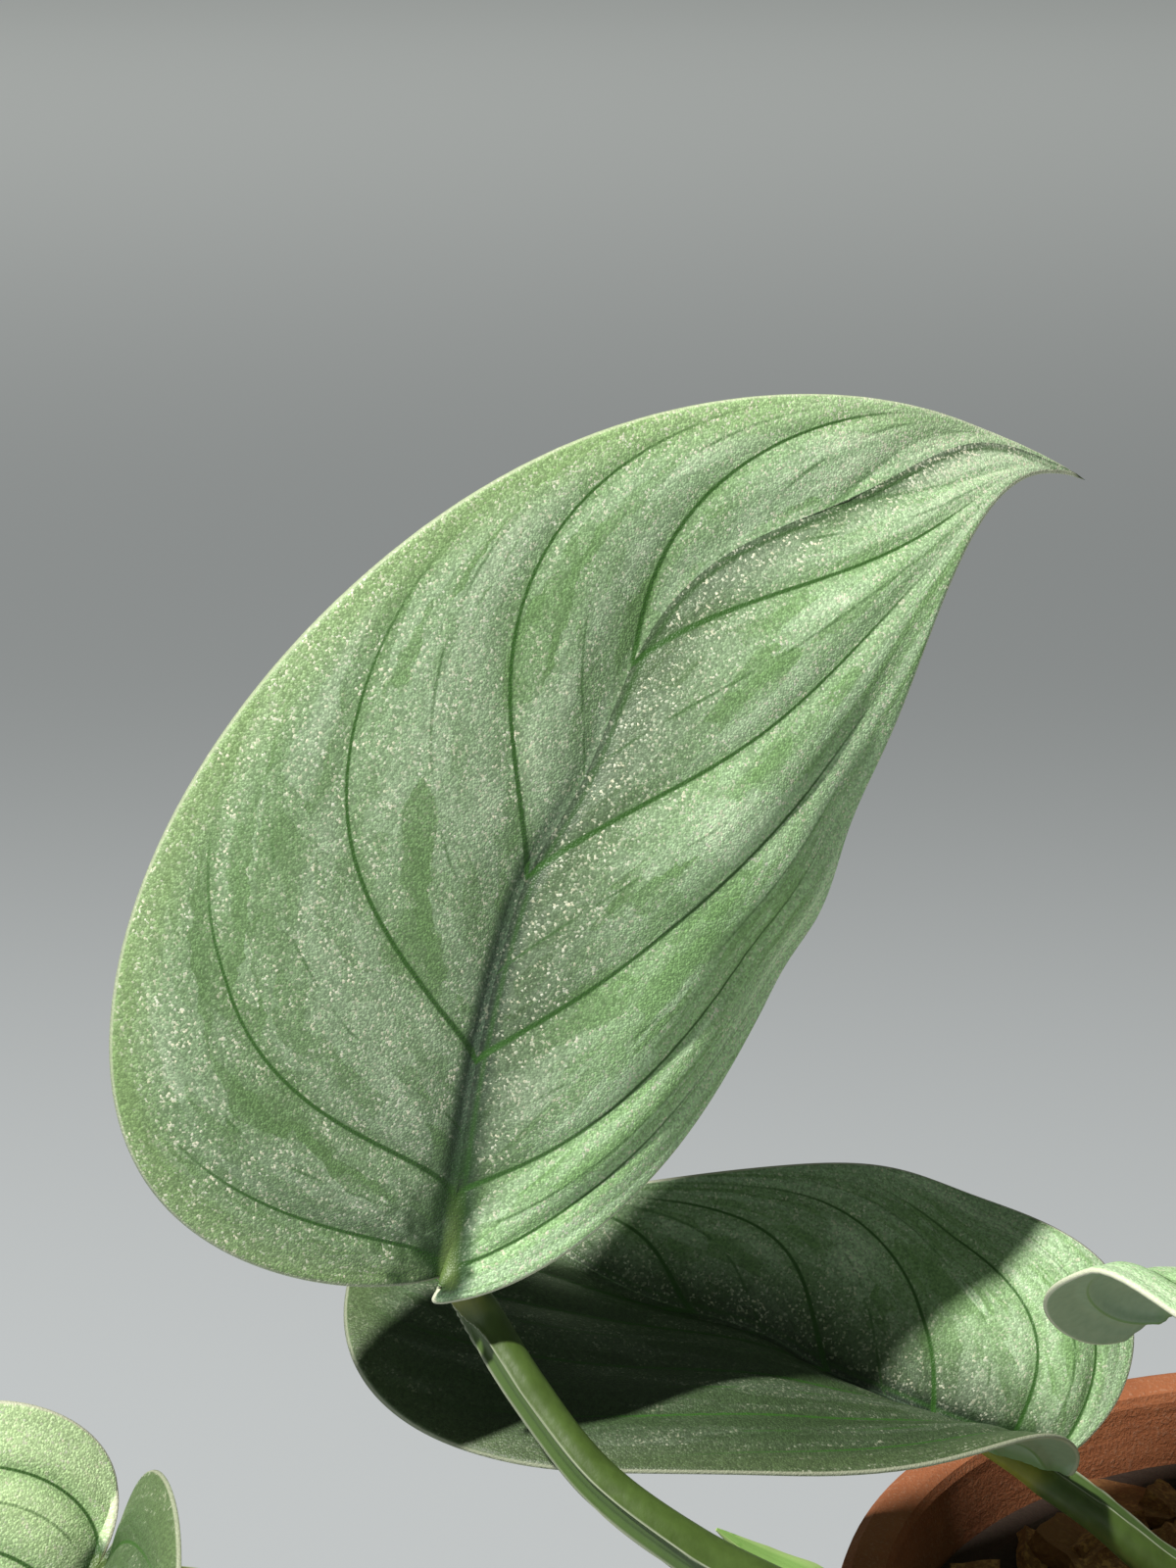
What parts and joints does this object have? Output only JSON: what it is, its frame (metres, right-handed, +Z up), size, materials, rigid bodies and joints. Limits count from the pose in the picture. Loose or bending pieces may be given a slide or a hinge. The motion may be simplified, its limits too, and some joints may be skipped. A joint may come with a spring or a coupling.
{
  "type": "potted silver-leaved scindapsus",
  "caption": "Young trailing aroid in a plain clay pot: silvery pointed leaves on curved green stalks, rising from a bark potting mix.",
  "frame": {"origin": "centre of the pot's base, on the surface the pot stands on", "axes": "+Z up; -Y towards the viewer of the pictured side; the plant leans to -X"},
  "size_m": [0.2228, 0.1426, 0.1832],
  "materials": {
    "clay": "unglazed fired clay, matt, with a pale bloom",
    "bark_mix": "rough golden-brown bark chips over dark fibre",
    "green_stem": "smooth waxy green, satin",
    "young_leaf": "smooth light green, satin",
    "silver_leaf": "silvery green with a fine sparkle, dark green sunken veins"
  },
  "bodies": {
    "root": {"pot": "clay", "potting_mix": "bark_mix", "vine_front": "green_stem", "vine_back": "green_stem", "vine_right": "green_stem", "new_leaf": "young_leaf", "blade_1": "silver_leaf", "blade_2": "silver_leaf", "blade_3": "silver_leaf", "blade_4": "silver_leaf", "blade_5": "silver_leaf", "blade_6": "silver_leaf", "blade_7": "silver_leaf"}
  },
  "joints": []
}
